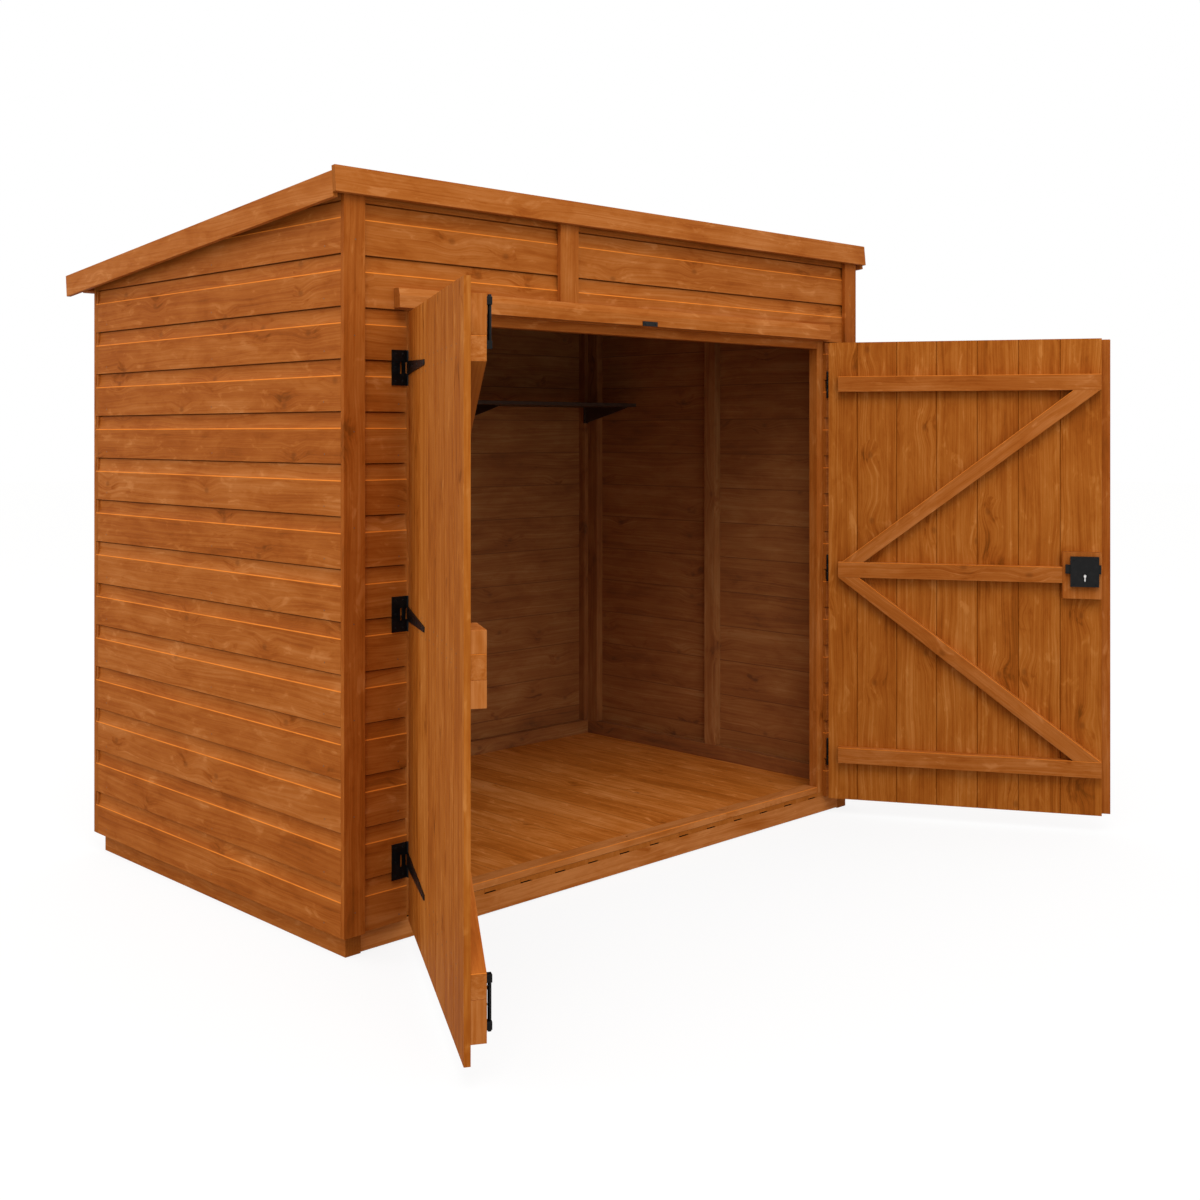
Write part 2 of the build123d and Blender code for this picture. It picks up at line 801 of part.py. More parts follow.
plate_wide, plate_thick, plate_high = head_plate_size
with BuildPart() as head_plate:
    plate_left = -half_width + head_plate_left
    plate_back = front_face - drip_bar_depth
    timber((plate_left, plate_left + plate_wide), (plate_back - plate_thick, plate_back),
           (drip_bar_bottom, drip_bar_bottom + plate_high))
finish(head_plate, "head_plate")
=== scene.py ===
"""Looks of a small pent-roof bicycle shed of stained timber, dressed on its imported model."""

import logging
import math
import random
from dataclasses import dataclass, field
from enum import Enum
from typing import Any, Callable, Optional, Sequence, Union

import bmesh
import bpy
from mathutils import Matrix, Vector


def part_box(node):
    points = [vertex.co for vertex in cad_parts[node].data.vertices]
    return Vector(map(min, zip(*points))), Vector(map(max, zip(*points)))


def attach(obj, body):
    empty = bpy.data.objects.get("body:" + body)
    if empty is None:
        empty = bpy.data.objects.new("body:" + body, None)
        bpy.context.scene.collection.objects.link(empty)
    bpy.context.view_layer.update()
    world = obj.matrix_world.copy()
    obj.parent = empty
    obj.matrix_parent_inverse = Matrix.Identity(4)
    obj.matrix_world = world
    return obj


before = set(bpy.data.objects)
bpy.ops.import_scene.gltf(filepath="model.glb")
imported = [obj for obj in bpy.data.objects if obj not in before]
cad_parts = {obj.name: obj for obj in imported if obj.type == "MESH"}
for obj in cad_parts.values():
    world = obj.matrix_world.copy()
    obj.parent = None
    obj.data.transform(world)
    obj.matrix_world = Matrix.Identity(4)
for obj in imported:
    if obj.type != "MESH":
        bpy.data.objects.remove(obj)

log = logging.getLogger("shed")

Triple = tuple[float, float, float]

BOARD_COVER = 0.112
BOARD_LIP = 0.0752
WALL_START = 0.049
LEDGES: Triple = (0.1825, 0.7245, 1.2655)
LEFT_DOOR_RUN: Triple = (-0.5, -math.sqrt(3) / 2, 0.0)
RIGHT_DOOR_RUN: Triple = (0.5, -math.sqrt(3) / 2, 0.0)
ALONG_X: Triple = (1.0, 0.0, 0.0)
ALONG_Y: Triple = (0.0, 1.0, 0.0)
UPRIGHT: Triple = (0.0, 0.0, 1.0)


def math_method(operation: str, swapped: bool = False) -> Callable[..., "Value"]:
    """Make a method of Value that adds one Math node.

    Args:
        operation: The node's operation.
        swapped: Whether the value itself comes second, as in a number minus a value.

    Returns:
        The method.
    """
    def method(self: "Value", *others: Any) -> "Value":
        """Add the node for this value and for the other one, if there is one."""
        ends = (*others, self) if swapped else (self, *others)
        return self.graph.node("ShaderNodeMath", {"operation": operation}, dict(enumerate(ends)))

    return method


class Value:
    """A shader socket that takes part in Python expressions."""

    __add__ = math_method("ADD")
    __radd__ = math_method("ADD", swapped=True)
    __sub__ = math_method("SUBTRACT")
    __rsub__ = math_method("SUBTRACT", swapped=True)
    __mul__ = math_method("MULTIPLY")
    __truediv__ = math_method("DIVIDE")
    above = math_method("GREATER_THAN")
    floor = math_method("FLOOR")
    fraction = math_method("FRACT")
    size = math_method("ABSOLUTE")
    sine = math_method("SINE")

    def __init__(self, graph: "Graph", socket: bpy.types.NodeSocket) -> None:
        """Keep the socket and the graph it belongs to."""
        self.graph = graph
        self.socket = socket

    def smooth(self, low: float, high: float, start: float = 0.0, end: float = 1.0) -> "Value":
        """Rise smoothly from start at low to end at high.

        Args:
            low: Where the rise begins.
            high: Where it ends.
            start: The value up to low.
            end: The value from high on.

        Returns:
            The mapped value.
        """
        settings = {"interpolation_type": "SMOOTHSTEP", "clamp": True}
        return self.graph.node("ShaderNodeMapRange", settings,
                               {"Value": self, "From Min": low, "From Max": high,
                                "To Min": start, "To Max": end})


class Graph:
    """The nodes of one material or of the world."""

    def __init__(self, name: str, world: Optional[bpy.types.World] = None) -> None:
        """Start without nodes.

        Args:
            name: Name of the new material.
            world: The world that takes the nodes instead, if given.
        """
        self.owner = world or bpy.data.materials.new(name)
        self.owner.use_nodes = True
        self.tree = self.owner.node_tree
        self.tree.nodes.clear()

    def node(self, kind: str, settings: dict[str, Any], sockets: dict[Any, Any],
             output: Union[int, str] = 0) -> Value:
        """Add any node.

        Args:
            kind: The node's type.
            settings: Its properties. The key stops holds the stops of a colour ramp.
            sockets: Values or links of its sockets, by name or number.
            output: The output that is wanted.

        Returns:
            That output.
        """
        made = self.tree.nodes.new(kind)
        for key, value in settings.items():
            if key == "stops":
                ramp = made.color_ramp
                while len(ramp.elements) < len(value):
                    ramp.elements.new(0.5)
                for element, (place, colour) in zip(ramp.elements, value):
                    element.position = place
                    element.color = (*colour, 1.0)
            else:
                setattr(made, key, value)
        for key, value in sockets.items():
            target = made.inputs[key]
            if isinstance(value, Value):
                self.tree.links.new(value.socket, target)
            elif isinstance(value, tuple) and len(value) == 3 and target.type == "RGBA":
                target.default_value = (*value, 1.0)
            else:
                target.default_value = value
        return Value(self, made.outputs[output])

    def place(self) -> Value:
        """Give the place on the object, in the shed's own frame."""
        return self.node("ShaderNodeTexCoord", {}, {}, "Object")

    def enlarged(self, factor: float) -> Value:
        """Give the place times a factor, for a texture of that fineness."""
        return self.node("ShaderNodeVectorMath", {"operation": "SCALE"},
                         {0: self.place(), "Scale": factor})

    def facing(self) -> Value:
        """Give the direction that the surface faces."""
        return self.node("ShaderNodeTexCoord", {}, {}, "Normal")

    def along(self, direction: Triple, vector: Optional[Value] = None) -> Value:
        """Measure how far the place, or another vector, lies along a direction."""
        return self.node("ShaderNodeVectorMath", {"operation": "DOT_PRODUCT"},
                         {0: vector or self.place(), 1: direction}, "Value")

    def vector(self, x: Any, y: Any, z: Any = 0.0) -> Value:
        """Join three values into a vector."""
        return self.node("ShaderNodeCombineXYZ", {}, {0: x, 1: y, 2: z})

    def noise(self, vector: Value, detail: float = 2.0, roughness: float = 0.5,
              distortion: float = 0.0) -> Value:
        """Add a cloud texture, about 0.5 on average."""
        return self.node("ShaderNodeTexNoise", {"noise_dimensions": "3D"},
                         {"Vector": vector, "Scale": 1.0, "Detail": detail,
                          "Roughness": roughness, "Distortion": distortion})

    def random(self, seed: Value) -> Value:
        """Give a random value from 0 to 1 for each seed."""
        return self.node("ShaderNodeTexWhiteNoise", {"noise_dimensions": "1D"}, {"W": seed})

    def ramp(self, factor: Value, stops: Sequence[tuple[float, Triple]]) -> Value:
        """Turn a value into a colour."""
        return self.node("ShaderNodeValToRGB", {"stops": list(stops)}, {0: factor})

    def blend(self, factor: Any, under: Any, over: Any, how: str = "MIX") -> Value:
        """Lay one colour over another by a factor, with the blend type that how names."""
        return self.node("ShaderNodeMix", {"data_type": "RGBA", "blend_type": how},
                         {0: factor, 6: under, 7: over}, 2)

    def choose(self, factor: Value, low: Any, high: Any) -> Value:
        """Mix two numbers."""
        return self.node("ShaderNodeMix", {"data_type": "FLOAT"}, {0: factor, 2: low, 3: high})

    def finish(self, colour: Any, roughness: Any, height: Value, depth: float,
               metallic: float = 0.0, specular: float = 0.5) -> bpy.types.Material:
        """Close the material with its shader.

        Args:
            colour: Base colour.
            roughness: Roughness.
            height: Height for the bump.
            depth: Depth in metres that a height of 1 stands for.
            metallic: Whether it is bare metal.
            specular: Strength of the mirror-like part of the light.

        Returns:
            The material.
        """
        bump = self.node("ShaderNodeBump", {}, {"Strength": 1.0, "Distance": depth,
                                                "Height": height})
        shader = self.node("ShaderNodeBsdfPrincipled", {},
                           {"Base Color": colour, "Roughness": roughness, "Normal": bump,
                            "Metallic": metallic, "Specular IOR Level": specular})
        return self.close(shader)

    def close(self, surface: Value, kind: str = "Material") -> Any:
        """Link the last shader to the output.

        Args:
            surface: The shader.
            kind: Material or World.

        Returns:
            The material or the world.
        """
        out = self.tree.nodes.new(f"ShaderNodeOutput{kind}")
        self.tree.links.new(surface.socket, out.inputs[0])
        return self.owner


@dataclass(frozen=True)
class Stain:
    """Colours of one coat of stain on softwood, from its darkest to its lightest figure, with a
    painted highlight colour and a painted shadow colour.
    """

    deep: Triple = (0.205, 0.051, 0.005)
    brown: Triple = (0.335, 0.082, 0.009)
    amber: Triple = (0.410, 0.118, 0.018)
    gold: Triple = (0.530, 0.190, 0.050)
    knot: Triple = (0.165, 0.042, 0.005)
    end: Triple = (0.330, 0.095, 0.012)
    # Painted highlight colour for lips and lit edges.
    arris: Triple = (0.880, 0.250, 0.028)
    # Painted shadow colour for dark slots and shaded tops.
    shadow: Triple = (0.020, 0.006, 0.001)


# A paler stain for the floor boards.
PALE_FLOOR_STAIN = Stain((0.300, 0.080, 0.009), (0.470, 0.125, 0.014), (0.590, 0.180, 0.028),
                (0.740, 0.280, 0.075), (0.230, 0.060, 0.008))
SUNLIT = Stain((0.205, 0.053, 0.004), (0.345, 0.087, 0.008), (0.425, 0.126, 0.015),
               (0.550, 0.200, 0.042))


class Profile(Enum):
    """What is worked along the edges of the boards."""

    PLAIN = "plain"
    SHIPLAP = "shiplap"
    MATCHED = "matched"


@dataclass(frozen=True)
class Interior:
    """The space within the walls, over the floor, with the painted shade on its inner faces and the
    figure's contrast and pale loss there.
    """

    half_width: float = 0.9105
    back: float = 0.5630
    front: float = -0.530
    floor: float = 0.0625
    # Painted shade on the inner faces: the colour is multiplied by the first of these, then the
    # second is added.
    painted_shade_share: Triple = (0.80, 0.92, 0.95)
    painted_shade_tint: Triple = (0.004, 0.015, 0.018)
    contrast: float = 0.15
    pale_loss: float = 0.85

    def mask(self, graph: Graph) -> Value:
        """Tell the inner faces from the outer ones.

        Args:
            graph: The material's nodes.

        Returns:
            1 on what lies inside the shed, 0 on its outer faces.
        """
        away_x = graph.along(ALONG_X).size()
        along_y = graph.along(ALONG_Y)
        height = graph.along(UPRIGHT)
        outside = (away_x.above(self.half_width) + along_y.above(self.back)
                   + (self.front - along_y).above(0.0) + (self.floor - height).above(0.0))
        return 1.0 - outside.above(0.5)

    def paint_inner_shade(self, graph: Graph, colour: Value, inside: Value) -> Value:
        """Darken the colour where inside is 1, as painted shade inside the shed."""
        inner_shaded_colour = graph.blend(1.0, colour, self.painted_shade_share, "MULTIPLY")
        return graph.blend(inside, colour, graph.blend(1.0, inner_shaded_colour, self.painted_shade_tint, "ADD"))


INTERIOR = Interior()


@dataclass(frozen=True)
class StainedTimber:
    """Stained softwood with its grain along one direction, in boards or in single pieces."""

    name: str
    along: Triple
    across: Triple
    seed: float
    pitch: float = 0.26
    start: float = 0.013
    profile: Profile = Profile.PLAIN
    stain: Stain = Stain()
    tone: float = 0.0
    knots: float = 0.74
    figure: float = 1.0
    joint: float = 0.70
    turned: Optional[Triple] = None
    turn_height: float = LEDGES[1]
    lined: bool = False
    lit_edges: tuple[tuple[Triple, float], ...] = ()
    seams: tuple[float, ...] = ()
    covered: bool = False
    end_share: float = 0.75
    variety: float = 0.13
    streaks: float = 0.46
    bands: float = 0.0

    def _runs(self, graph: Graph) -> tuple[Value, Value, Value]:
        """Measure along, across and through the grain.

        Args:
            graph: The material's nodes.

        Returns:
            The three measures in metres.
        """
        depth = tuple(Vector(self.along).cross(Vector(self.across)))
        run = graph.along(self.along)
        side = graph.along(self.across)
        if self.turned is not None:
            other_side = tuple(Vector(depth).cross(Vector(self.turned)))
            upper = graph.along(UPRIGHT).above(self.turn_height)
            run = graph.choose(upper, run, graph.along(self.turned))
            side = graph.choose(upper, side, graph.along(other_side))
        return run, side, graph.along(depth)

    def _knots(self, graph: Graph, run: Value, side: Value) -> tuple[Value, Value]:
        """Scatter the knots.

        Args:
            graph: The material's nodes.
            run: Measure along the grain.
            side: Measure across it.

        Returns:
            The distance to the knot's middle, where 1 is far, and the pull on the grain.
        """
        cells = graph.vector(run * 6.0, side * 8.5)
        settings = {"feature": "F1", "voronoi_dimensions": "2D"}
        near, cell = (graph.node("ShaderNodeTexVoronoi", settings,
                                 {"Vector": cells, "Scale": 1.0, "Randomness": 0.9}, output)
                      for output in ("Distance", "Color"))
        chosen = graph.along(ALONG_X, cell).above(self.knots)
        distance = graph.choose(chosen, 1.0, near)
        pull = distance.smooth(0.0, 0.42, 1.0, 0.0)
        return distance, pull

    def _bands(self, graph: Graph, run: Value, side: Value) -> Value:
        """Lay broad straight bands of early and late wood along the boards."""
        band = graph.noise(graph.vector(run * 0.45, side * 36.0, 2.7), 3.0, 0.72)
        return (band - 0.5) * self.bands

    def material(self) -> bpy.types.Material:
        """Build the material.

        Returns:
            The material with grain, knots, board tones and end grain.
        """
        graph = Graph(self.name)
        run, side, depth = self._runs(graph)
        board = ((side - self.start) / self.pitch).floor() + self.seed
        first = graph.random(board)
        second = graph.random(board + 31.7)
        long_run = run + first * 9.0
        wide = side + second * 4.0
        distance, pull = self._knots(graph, long_run, wide)

        sway = graph.noise(graph.vector(long_run * 2.6, wide * 8.0, depth * 8.0), 2.0)
        bent = wide + (sway - 0.5) * 0.042 + pull * 0.016
        rings = graph.noise(graph.vector(long_run * 0.9, bent * 88.0, depth * 50.0), 4.0, 0.60)
        streak = graph.noise(graph.vector(long_run * 2.6, bent * 270.0, depth * 160.0), 2.0, 0.6)
        fibre = graph.noise(graph.vector(long_run * 22.0, wide * 900.0, depth * 600.0), 1.0)
        cloud = graph.noise(graph.vector(long_run * 4.6, wide * 15.0, depth * 13.0 + self.seed),
                            4.0, 0.60, 0.5)
        flame = graph.noise(graph.vector(long_run * 13.0, bent * 34.0, depth * 20.0 + 4.1),
                            3.0, 0.62, 0.5)

        figure = self.figure
        inside = INTERIOR.mask(graph) if self.lined else None
        shade = (0.52 + self.tone
                 + (rings - 0.5) * (0.56 * figure)
                 + (streak - 0.5) * (self.streaks * figure)
                 + (fibre - 0.5) * 0.14
                 + (self._bands(graph, long_run, bent) if self.bands else 0.0)
                 + (cloud - 0.5) * 0.80
                 + (first - 0.5) * self.variety)
        near_knot = distance.smooth(0.10, 0.50, 1.0, 0.30)
        dark_flame = flame.smooth(0.54, 0.68) * near_knot * (0.27 * figure)
        pale_flame = flame.smooth(0.43, 0.27) * (0.24 * figure)
        if inside is not None:
            pale_flame = pale_flame * (1.0 - inside * INTERIOR.pale_loss)
        shade = shade - dark_flame + pale_flame - pull * 0.05
        if inside is not None:
            shade = 0.5 + (shade - 0.5) * (1.0 + inside * INTERIOR.contrast)

        stain = self.stain
        colour = graph.ramp(shade, ((0.10, stain.deep), (0.38, stain.brown),
                                    (0.58, stain.amber), (0.90, stain.gold)))
        core = distance.smooth(0.02, 0.09, 0.45, 0.0)
        colour = graph.blend(core, colour, stain.knot)

        facing = graph.facing()
        end_grain = graph.along(self.along, facing).size().smooth(0.75, 0.92)
        ringed = ((depth * 900.0) + (rings * 9.0)).sine().smooth(-1.0, 1.0, 0.0, 0.35)
        end_colour = graph.blend(ringed, stain.end, stain.deep)
        colour = graph.blend(end_grain * self.end_share, colour, end_colour)

        height = rings * 0.5 + streak * 0.35 + fibre * 0.3 - core * 0.4
        roughness = 0.55 + (streak - 0.5) * 0.16 + dark_flame * 0.3
        if self.profile is not Profile.PLAIN:
            place = ((side - self.start) / self.pitch).fraction() * self.pitch
            colour = self._worked_edges(graph, colour, place, inside)
        if inside is not None:
            # Painted shade on the inner faces.
            colour = INTERIOR.paint_inner_shade(graph, colour, inside)
        for way, level in self.lit_edges:
            edge = (graph.along(way) - level).size().smooth(0.0006, 0.0018, 0.80, 0.0)
            square_on = graph.along(way, facing).size().smooth(0.75, 0.95, 1.0, 0.15)
            colour = graph.blend(edge * square_on, colour, stain.arris)
        # Painted shadow lines at the given heights.
        for level in self.seams:
            seam = (graph.along(UPRIGHT) - level).size().smooth(0.0005, 0.0014, 0.85, 0.0)
            colour = graph.blend(seam, colour, stain.shadow)
        # Painted shadow on the faces that look up.
        if self.covered:
            upper_face = graph.along(UPRIGHT, facing).smooth(0.5, 0.9)
            colour = graph.blend(upper_face, colour, stain.shadow)
        return graph.finish(colour, roughness, height, 0.0005, specular=0.035)

    def _worked_edges(self, graph: Graph, colour: Value, place: Value,
                      inside: Optional[Value]) -> Value:
        """Show the joints between boards.

        Args:
            graph: The material's nodes.
            colour: The timber's colour so far.
            place: Measure across each board, from its joint.
            inside: 1 on inner faces, where the boards meet flush, if there are any.

        Returns:
            The colour with dark joints and, on shiplap, a painted highlight along each lip.
        """
        if self.profile is Profile.SHIPLAP:
            outer = 1.0 if inside is None else 1.0 - inside
            # Painted highlight along each board's lip on the outer faces, broken here and there by
            # a cloud texture.
            lip_highlight_noise = graph.noise(graph.vector(graph.along(self.along) * 9.0, place * 2.0), 2.0)
            lip_highlight_break = lip_highlight_noise.smooth(0.30, 0.62, 0.60, 0.92)
            lip_highlight = (place - BOARD_LIP).size().smooth(0.0005, 0.0019, 1.0, 0.0) * lip_highlight_break * outer
            joint = place.smooth(self.pitch - 0.0034, self.pitch - 0.0024, 0.0, 0.80)
            colour = graph.blend(lip_highlight, colour, self.stain.arris)
            return graph.blend(joint, colour, self.stain.deep)
        near = (place - self.pitch / 2).size()
        joint = near.smooth(self.pitch / 2 - 0.0016, self.pitch / 2 - 0.0007, 0.0, self.joint)
        return graph.blend(joint, colour, self.stain.deep)


@dataclass(frozen=True)
class BlackSteel:
    """Black japanned ironmongery."""

    name: str = "black_ironmongery"
    colour: Triple = (0.0035, 0.0036, 0.0040)
    worn: Triple = (0.0085, 0.0085, 0.0090)
    sheen: float = 0.22

    def material(self) -> bpy.types.Material:
        """Build the material.

        Returns:
            The material with a slight orange peel and dull patches.
        """
        graph = Graph(self.name)
        peel = graph.noise(graph.enlarged(900.0), 2.0)
        patch = graph.noise(graph.enlarged(70.0), 3.0)
        colour = graph.blend(patch.smooth(0.45, 0.75), self.colour, self.worn)
        roughness = 0.42 + (patch - 0.5) * 0.25
        return graph.finish(colour, roughness, peel, 0.00012, specular=self.sheen)


BROWN_SHELF = BlackSteel("brown_shelf", (0.062, 0.036, 0.024), (0.074, 0.044, 0.030), 0.10)
DULL_BRACKETS = BlackSteel("dull_brackets", (0.050, 0.026, 0.015), (0.060, 0.032, 0.019), 0.10)
LOCK_CASE = BlackSteel("black_lock_case", sheen=0.26)


@dataclass(frozen=True)
class BareMetal:
    """Bright or zinc-coated metal, and the white of the keyhole's painted highlight."""

    name: str
    colour: Triple
    roughness: float = 0.35
    metallic: float = 1.0

    def material(self) -> bpy.types.Material:
        """Build the material.

        Returns:
            The material with faint clouds of tarnish.
        """
        graph = Graph(self.name)
        cloud = graph.noise(graph.enlarged(400.0), 3.0)
        darker = tuple(part * 0.6 for part in self.colour)
        colour = graph.blend(cloud.smooth(0.4, 0.7), self.colour, darker)
        return graph.finish(colour, self.roughness + (cloud - 0.5) * 0.2, cloud, 0.00005,
                            metallic=self.metallic)


NAIL_IRON = BareMetal("nail_heads", (0.22, 0.12, 0.06), 0.5, 0.6)
ZINC = BareMetal("zinc_clouts", (0.52, 0.54, 0.56), 0.45)
# White keyhole shape: a painted highlight.
KEYHOLE_HIGHLIGHT = BareMetal("keyhole_highlight_white", (0.90, 0.90, 0.88), 0.30, 0.0)


@dataclass(frozen=True)
class MineralFelt:
    """Roofing felt with a mineral face."""

    name: str = "mineral_felt"
    grit_dark: Triple = (0.020, 0.024, 0.024)
    grit_mid: Triple = (0.065, 0.074, 0.072)
    grit_pale: Triple = (0.190, 0.200, 0.195)

    def material(self) -> bpy.types.Material:
        """Build the material.

        Returns:
            The material, strewn with grains of slate.
        """
        graph = Graph(self.name)
        grit = graph.enlarged(620.0)
        grains, edge = (graph.node("ShaderNodeTexVoronoi", {"feature": "F1"},
                                   {"Vector": grit, "Scale": 1.0}, output)
                        for output in ("Color", "Distance"))
        tone = graph.along(ALONG_X, grains)
        broad = graph.noise(graph.enlarged(5.0), 4.0)
        colour = graph.ramp(tone * 0.7 + broad * 0.45, ((0.25, self.grit_dark),
                                                        (0.62, self.grit_mid),
                                                        (0.98, self.grit_pale)))
        return graph.finish(colour, 0.9, 1.0 - edge, 0.0006, specular=0.2)


class Dresser:
    """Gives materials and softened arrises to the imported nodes."""

    def __init__(self) -> None:
        """Start with no material made."""
        self.made: dict[str, bpy.types.Material] = {}

    def of(self, finish: Any) -> bpy.types.Material:
        """Give the material of a finish.

        Args:
            finish: The finish.

        Returns:
            Its material, which is made once.
        """
        if finish.name not in self.made:
            self.made[finish.name] = finish.material()
        return self.made[finish.name]

    def dress(self, node: str, finish: Any, arris: float = 0.0009) -> None:
        """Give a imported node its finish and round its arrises.

        Args:
            node: The node's name.
            finish: The finish it gets.
            arris: Radius of its arrises in metres, or 0 for none.
        """
        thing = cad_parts[node]
        thing.data.materials.clear()
        thing.data.materials.append(self.of(finish))
        if arris > 0:
            weld = thing.modifiers.new("weld", "WELD")
            weld.merge_threshold = 0.00001
            bevel = thing.modifiers.new("arris", "BEVEL")
            bevel.width = arris
            bevel.segments = 2
            bevel.limit_method = "ANGLE"
            bevel.angle_limit = math.radians(40)
            bevel.harden_normals = True
        log.info("dressed %s", node)

    def timber(self, node: str, along: Triple, across: Triple, seed: float,
               arris: float = 0.0009, **more: Any) -> None:
        """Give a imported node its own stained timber, with further fields of that finish."""
        self.dress(node, StainedTimber(f"timber_{node}", along, across, seed, **more), arris)


@dataclass
class Fastener:
    """A round head that is turned from a profile, with a cross recess or none."""

    radius: float
    rise: float
    sides: int = 12
    recess: bool = False

    def rings(self) -> list[tuple[float, float]]:
        """Give the radius and height of each ring of the head, from its edge to its middle."""
        return [(self.radius, -0.0002), (self.radius, self.rise * 0.35),
                (self.radius * 0.78, self.rise * 0.85), (self.radius * 0.40, self.rise)]

    def add(self, mesh: bmesh.types.BMesh, at: Vector, out: Vector, turn: float) -> None:
        """Add one head.

        Args:
            mesh: The mesh that takes it.
            at: Its place on the surface.
            out: Direction away from the surface.
            turn: Turn about its own axis.
        """
        stand = out.normalized().to_track_quat("Z", "Y").to_matrix().to_4x4()
        whole = Matrix.Translation(at) @ stand @ Matrix.Rotation(turn, 4, "Z")
        loops: list[list[bmesh.types.BMVert]] = []
        for radius, height in self.rings():
            inner = self.recess and radius < self.radius * 0.5
            ring = []
            for side in range(self.sides):
                angle = 2 * math.pi * side / self.sides
                reach = radius * (0.45 if inner and side % 3 else 1.0)
                point = Vector((reach * math.cos(angle), reach * math.sin(angle), height))
                ring.append(mesh.verts.new(whole @ point))
            loops.append(ring)
        for lower, upper in zip(loops, loops[1:]):
            for side in range(self.sides):
                after = (side + 1) % self.sides
                mesh.faces.new((lower[side], lower[after], upper[after], upper[side]))
        sink = self.rise * (0.25 if self.recess else 1.05)
        middle = mesh.verts.new(whole @ Vector((0.0, 0.0, sink)))
        for side in range(self.sides):
            mesh.faces.new((loops[-1][side], loops[-1][(side + 1) % self.sides], middle))


NAIL = Fastener(0.0017, 0.0004, 8)
SMALL_SCREW = Fastener(0.0026, 0.0010, recess=True)
CLOUT = Fastener(0.0055, 0.0009)


@dataclass
class Heads:
    """A family of fasteners on one body, made as one piece."""

    name: str
    body: str
    kind: Fastener
    finish: Any
    slot: Optional[str] = None
    spots: list[tuple[Vector, Vector]] = field(default_factory=list)

    def at(self, x: float, y: float, z: float, out: Sequence[float]) -> None:
        """Note one place on a surface and the direction away from it."""
        self.spots.append((Vector((x, y, z)), Vector(out)))

    def build(self, dresser: Dresser, chance: random.Random) -> None:
        """Make the piece.

        Args:
            dresser: Gives the material.
            chance: Source of the turn of each head.
        """
        mesh = bmesh.new()
        for place, out in self.spots:
            self.kind.add(mesh, place, out, chance.uniform(0, math.pi))
        piece_from(mesh, self.name, dresser.of(self.finish), self.body)
        log.info("built %s, %d heads", self.name, len(self.spots))


def nails(name: str, body: str = "shed") -> Heads:
    """Start a family of small nails."""
    return Heads(name, body, NAIL, NAIL_IRON)


def screws(name: str, body: str = "shed") -> Heads:
    """Start a family of small black screws."""
    return Heads(name, body, SMALL_SCREW, BlackSteel(), "black_steel")


def placed(name: str, data: Any) -> bpy.types.Object:
    """Put an object in the scene.

    Args:
        name: Its name.
        data: Its mesh, lamp or camera.

    Returns:
        The object.
    """
    made = bpy.data.objects.new(name, data)
    bpy.context.scene.collection.objects.link(made)
    return made


def piece_from(mesh: bmesh.types.BMesh, name: str, material: bpy.types.Material, body: str) -> None:
    """Turn a mesh into a piece that rides on a body.

    Args:
        mesh: The mesh, which is used up.
        name: The piece's name.
        material: Its material.
        body: The body that carries it.
    """
    bmesh.ops.recalc_face_normals(mesh, faces=mesh.faces)
    data = bpy.data.meshes.new(name)
    mesh.to_mesh(data)
    mesh.free()
    data.materials.append(material)
    data.shade_smooth()
    data.set_sharp_from_angle(angle=math.radians(35))
    piece = placed(name, data)
    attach(piece, body)


